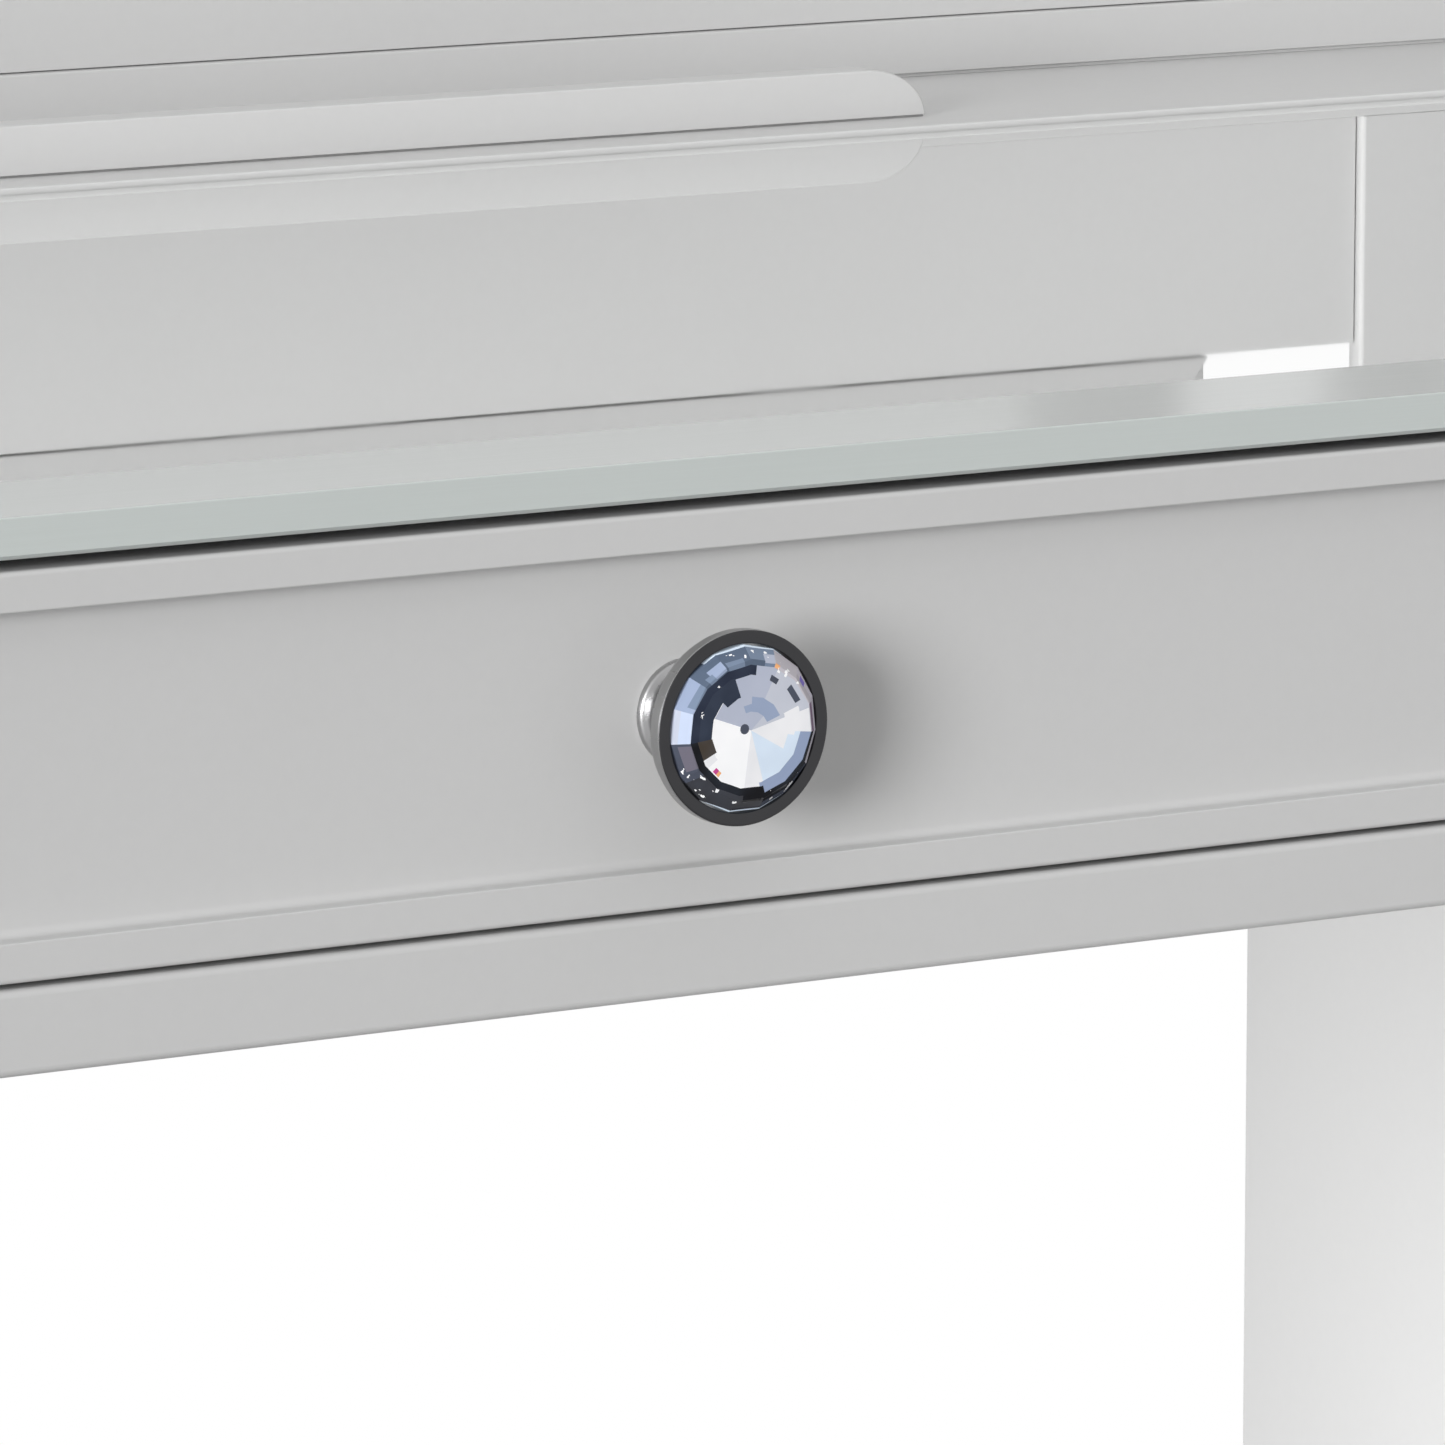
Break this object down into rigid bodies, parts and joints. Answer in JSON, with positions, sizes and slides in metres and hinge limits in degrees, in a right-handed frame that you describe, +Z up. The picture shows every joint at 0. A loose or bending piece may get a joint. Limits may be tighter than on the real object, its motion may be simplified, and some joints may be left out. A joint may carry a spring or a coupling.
{
  "type": "dressing table",
  "caption": "Painted dressing table with shallow drawers on crystal knobs, a mirror-backed bevelled glass top and a swing mirror on posts along the back edge.",
  "frame": {"origin": "middle of the footprint, on the floor", "axes": "+X to the right seen from the front, +Y to the back, +Z up"},
  "size_m": [1.0166, 0.5192, 1.4253],
  "materials": {
    "grey_paint": "satin pale grey paint",
    "mirror_glass": "silvered behind, green in its ground edges",
    "crystal": "cut and foil-backed",
    "dark_nickel": "dark brushed nickel",
    "drawer_lining": "clear lacquered",
    "beech": "plain turned",
    "nylon": "matte",
    "brass": "turned",
    "steel": "zinc plated"
  },
  "bodies": {
    "table": {"side_left": "grey_paint", "side_right": "grey_paint", "bottom_board": "grey_paint", "sub_top": "grey_paint", "rear_strip": "grey_paint", "glass_top": "mirror_glass", "back_panel": "grey_paint", "divider_left": "grey_paint", "divider_right": "grey_paint", "glide_tapes": "nylon", "floor_glides": "nylon", "board_dowels": "beech", "mirror_base": "grey_paint", "fascia": "grey_paint", "post_left": "grey_paint", "post_right": "grey_paint", "ledge_bar": "grey_paint", "pivot_bushes": "brass", "post_dowels": "beech", "stand_screws": "steel"},
    "mirror": {"frame_bottom_rail": "grey_paint", "frame_top_rail": "grey_paint", "frame_left_stile": "grey_paint", "frame_right_stile": "grey_paint", "mirror_pane": "mirror_glass", "mirror_backing": "drawer_lining", "pivot_pins": "steel", "spacer_sleeves": "dark_nickel", "tilt_knobs": "dark_nickel"},
    "drawer_left": {"drawer_left_front": "grey_paint", "drawer_left_side_a": "drawer_lining", "drawer_left_side_b": "drawer_lining", "drawer_left_back": "drawer_lining", "drawer_left_bottom": "drawer_lining", "drawer_left_dowels": "beech", "knob_left_base": "dark_nickel", "knob_left_bezel": "dark_nickel", "knob_left_crystal": "crystal", "knob_left_screw": "steel"},
    "drawer_centre": {"drawer_centre_front": "grey_paint", "drawer_centre_side_a": "drawer_lining", "drawer_centre_side_b": "drawer_lining", "drawer_centre_back": "drawer_lining", "drawer_centre_bottom": "drawer_lining", "drawer_centre_dowels": "beech", "knob_centre_base": "dark_nickel", "knob_centre_bezel": "dark_nickel", "knob_centre_crystal": "crystal", "knob_centre_screw": "steel"},
    "drawer_right": {"drawer_right_front": "grey_paint", "drawer_right_side_a": "drawer_lining", "drawer_right_side_b": "drawer_lining", "drawer_right_back": "drawer_lining", "drawer_right_bottom": "drawer_lining", "drawer_right_dowels": "beech", "knob_right_base": "dark_nickel", "knob_right_bezel": "dark_nickel", "knob_right_crystal": "crystal", "knob_right_screw": "steel"}
  },
  "joints": [
    {"name": "drawer_left_slide", "type": "slide", "parent": "table", "child": "drawer_left", "axis": [0, -1, 0], "range_m": [0, 0.26]},
    {"name": "drawer_centre_slide", "type": "slide", "parent": "table", "child": "drawer_centre", "axis": [0, -1, 0], "range_m": [0, 0.26]},
    {"name": "drawer_right_slide", "type": "slide", "parent": "table", "child": "drawer_right", "axis": [0, -1, 0], "range_m": [0, 0.26]},
    {"name": "mirror_tilt", "type": "hinge", "parent": "table", "child": "mirror", "pos_m": [0, 0.2171, 1.1333], "axis": [1, 0, 0], "range_deg": [-18, 18]}
  ]
}
